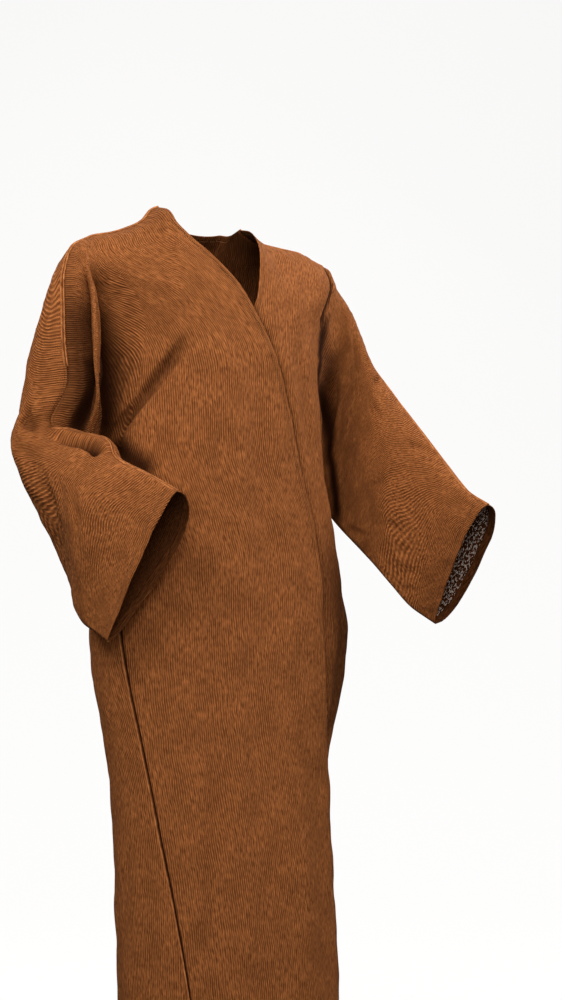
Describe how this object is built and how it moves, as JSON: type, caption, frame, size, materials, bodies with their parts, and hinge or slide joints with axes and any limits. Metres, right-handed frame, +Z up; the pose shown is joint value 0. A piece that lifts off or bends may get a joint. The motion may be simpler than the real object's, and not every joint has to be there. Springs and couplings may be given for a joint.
{
  "type": "abaya",
  "caption": "Loose ankle-length open-front abaya in worn form, one front lapped over the other, with wide cut-in-one sleeves and bent arms, in crinkled brown cloth.",
  "frame": {"origin": "on the shoulder line between the two corners of the neck, where the wearer's shoulders carry the garment", "axes": "+Z up, -Y out of the garment's front, +X towards the wearer's left"},
  "size_m": [0.8023, 0.3772, 1.4294],
  "materials": {
    "front_right": "matt crinkled weave",
    "front_left": "matt crinkled weave",
    "back": "matt crinkled weave",
    "seams": "matt folded cloth",
    "hems": "matt folded cloth"
  },
  "bodies": {
    "root": {"front_right": "front_right", "front_left": "front_left", "back": "back", "seam_overarm_right": "seams", "seam_overarm_left": "seams", "seam_underarm_right": "seams", "seam_underarm_left": "seams", "seam_side_right": "seams", "seam_side_left": "seams", "hem_cuff_right": "hems", "hem_cuff_left": "hems"}
  },
  "joints": []
}
